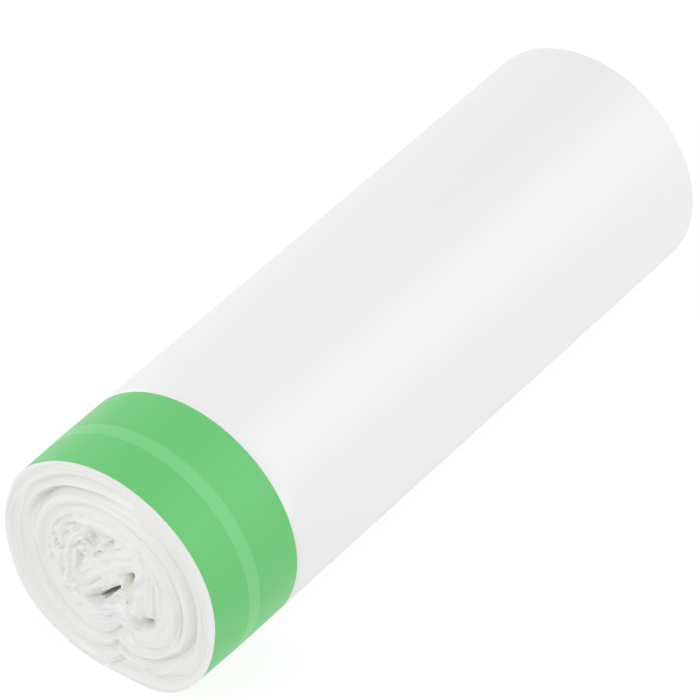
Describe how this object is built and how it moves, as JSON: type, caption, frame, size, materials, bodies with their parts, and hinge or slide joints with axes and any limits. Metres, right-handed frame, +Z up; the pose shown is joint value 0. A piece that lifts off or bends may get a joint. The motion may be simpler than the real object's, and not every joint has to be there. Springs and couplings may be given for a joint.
{
  "type": "roll of compostable toilet bags",
  "caption": "Soft roll of folded compostable toilet bags, wound in turns around a folded heart, with a green band around its mouth end; lies on a small flat",
  "frame": {"origin": "On the surface that the roll lies on, under the middle of its length", "axes": "+X along the roll from the banded mouth end to the plain far end, +Y to the left of that direction, +Z up"},
  "size_m": [0.215, 0.07, 0.0663],
  "materials": {
    "bag_film": "white starch-blend film, soft satin, slightly translucent at its edges",
    "band_film": "green film, smooth satin",
    "stripe_film": "paler green film, smooth satin"
  },
  "bodies": {
    "root": {"bag_roll": "bag_film", "end_band": "band_film", "band_stripe": "stripe_film"}
  },
  "joints": []
}
